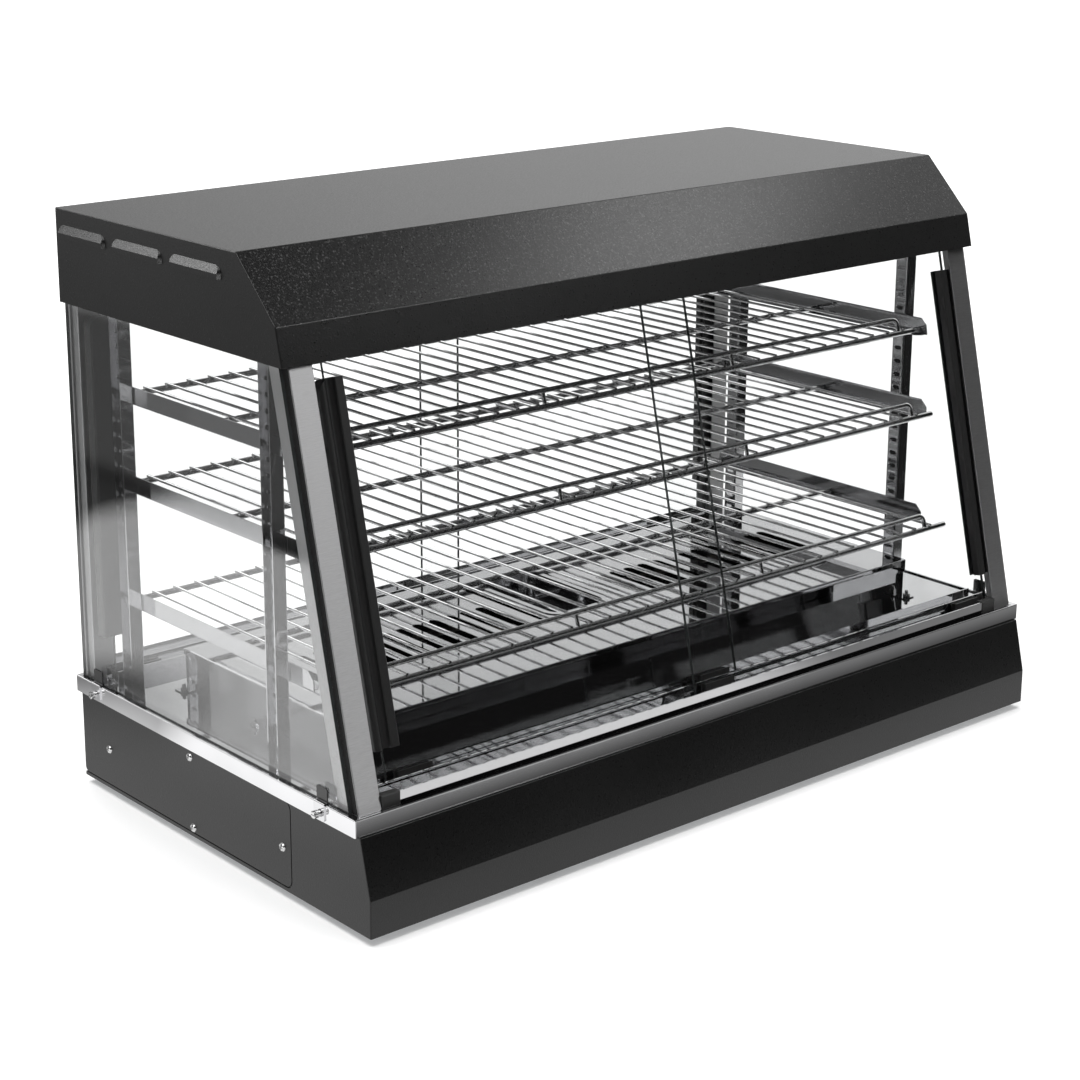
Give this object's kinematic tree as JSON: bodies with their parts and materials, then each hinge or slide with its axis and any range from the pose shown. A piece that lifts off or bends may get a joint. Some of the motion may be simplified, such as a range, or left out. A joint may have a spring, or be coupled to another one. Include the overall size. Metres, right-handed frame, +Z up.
{
  "type": "hot food merchandiser",
  "caption": "Counter-top heated display cabinet with sloping sliding glass doors front and back, wire shelves on slotted strips, polished heat deck and black hood and base.",
  "frame": {"origin": "middle of the footprint on the surface the cabinet stands on", "axes": "+X along the width to the customer's right seen from the front, +Y from front to back, +Z up"},
  "size_m": [0.9378, 0.5076, 0.6016],
  "materials": {
    "painted_black": "fine textured black powder coat",
    "polished_steel": "mirror polished stainless sheet",
    "brushed_steel": "brushed stainless sheet, grain along the length",
    "chrome_wire": "bright chrome plated wire",
    "zinc_steel": "bright zinc plated sheet",
    "clear_glass": "clear tempered glass, polished edges",
    "handle_black": "black anodised extrusion, satin",
    "black_plastic": "moulded black plastic",
    "rubber_black": "moulded rubber",
    "screw_steel": "nickel plated fasteners",
    "heater_steel": "oxidised sheath of tubular heater",
    "lamp_glass": "frosted lamp tube",
    "ceramic_white": "glazed ceramic"
  },
  "bodies": {
    "cabinet": {"base_housing": "painted_black", "base_bottom_plate": "zinc_steel", "rubber_feet": "rubber_black", "foot_screws": "screw_steel", "access_panel_left": "painted_black", "access_panel_right": "painted_black", "access_panel_screws": "screw_steel", "tray": "polished_steel", "front_track": "polished_steel", "rear_track": "polished_steel", "track_stop_blocks": "black_plastic", "glass_clips": "polished_steel", "clip_thumb_screws": "screw_steel", "front_post_left": "brushed_steel", "front_post_right": "brushed_steel", "rear_post_left": "brushed_steel", "rear_post_right": "brushed_steel", "side_glass_left": "clear_glass", "side_glass_right": "clear_glass", "slotted_strips_left": "polished_steel", "slotted_strips_right": "polished_steel", "hood_shell": "painted_black", "hood_liner": "brushed_steel", "lamp_holders": "ceramic_white", "heat_lamps": "lamp_glass", "deck_cover": "polished_steel", "deck_frame": "polished_steel", "deck_screws": "screw_steel", "heating_elements": "heater_steel", "control_plate": "brushed_steel", "thermostat": "zinc_steel", "switch_housings": "black_plastic", "terminal_block": "ceramic_white", "cord_gland": "black_plastic", "shelf_rail_top_left": "polished_steel", "shelf_rail_top_right": "polished_steel", "shelf_rail_middle_left": "polished_steel", "shelf_rail_middle_right": "polished_steel", "shelf_rail_bottom_left": "polished_steel", "shelf_rail_bottom_right": "polished_steel"},
    "front_left_door": {"front_door_glass_left": "clear_glass", "front_door_handle_left": "handle_black", "front_door_shoes_left": "black_plastic"},
    "front_right_door": {"front_door_glass_right": "clear_glass", "front_door_handle_right": "handle_black", "front_door_shoes_right": "black_plastic"},
    "rear_left_door": {"rear_door_glass_left": "clear_glass", "rear_door_handle_left": "handle_black", "rear_door_shoes_left": "black_plastic"},
    "rear_right_door": {"rear_door_glass_right": "clear_glass", "rear_door_handle_right": "handle_black", "rear_door_shoes_right": "black_plastic"},
    "temperature_knob": {"thermostat_knob": "black_plastic", "thermostat_shaft": "screw_steel"},
    "power_switch": {"power_rocker": "black_plastic"},
    "light_switch": {"light_rocker": "black_plastic"},
    "top_shelf": {"wire_shelf_top": "chrome_wire"},
    "middle_shelf": {"wire_shelf_middle": "chrome_wire"},
    "bottom_shelf": {"wire_shelf_bottom": "chrome_wire"},
    "pan": {"water_pan": "polished_steel"}
  },
  "joints": [
    {"name": "front_left_door_slide", "type": "slide", "parent": "cabinet", "child": "front_left_door", "axis": [1, 0, 0], "range_m": [-0.036, 0.3725]},
    {"name": "front_right_door_slide", "type": "slide", "parent": "cabinet", "child": "front_right_door", "axis": [1, 0, 0], "range_m": [-0.4085, 0]},
    {"name": "rear_left_door_slide", "type": "slide", "parent": "cabinet", "child": "rear_left_door", "axis": [1, 0, 0], "range_m": [0, 0.4155]},
    {"name": "rear_right_door_slide", "type": "slide", "parent": "cabinet", "child": "rear_right_door", "axis": [1, 0, 0], "range_m": [-0.4085, 0]},
    {"name": "temperature_knob_turn", "type": "hinge", "parent": "cabinet", "child": "temperature_knob", "pos_m": [0.352, 0.2373, 0.054], "axis": [0, -1, 0], "range_deg": [0, 300]},
    {"name": "power_switch_rock", "type": "hinge", "parent": "cabinet", "child": "power_switch", "pos_m": [0.286, 0.2316, 0.054], "axis": [1, 0, 0], "range_deg": [0, 16]},
    {"name": "light_switch_rock", "type": "hinge", "parent": "cabinet", "child": "light_switch", "pos_m": [0.246, 0.2316, 0.054], "axis": [1, 0, 0], "range_deg": [0, 16]},
    {"name": "top_shelf_lift", "type": "slide", "parent": "cabinet", "child": "top_shelf", "axis": [0, 0, 1], "range_m": [0, 0.03]},
    {"name": "middle_shelf_lift", "type": "slide", "parent": "cabinet", "child": "middle_shelf", "axis": [0, 0, 1], "range_m": [0, 0.018]},
    {"name": "bottom_shelf_lift", "type": "slide", "parent": "cabinet", "child": "bottom_shelf", "axis": [0, 0, 1], "range_m": [0, 0.026]},
    {"name": "pan_lift", "type": "slide", "parent": "cabinet", "child": "pan", "axis": [0, 0, 1], "range_m": [0, 0.03]}
  ]
}
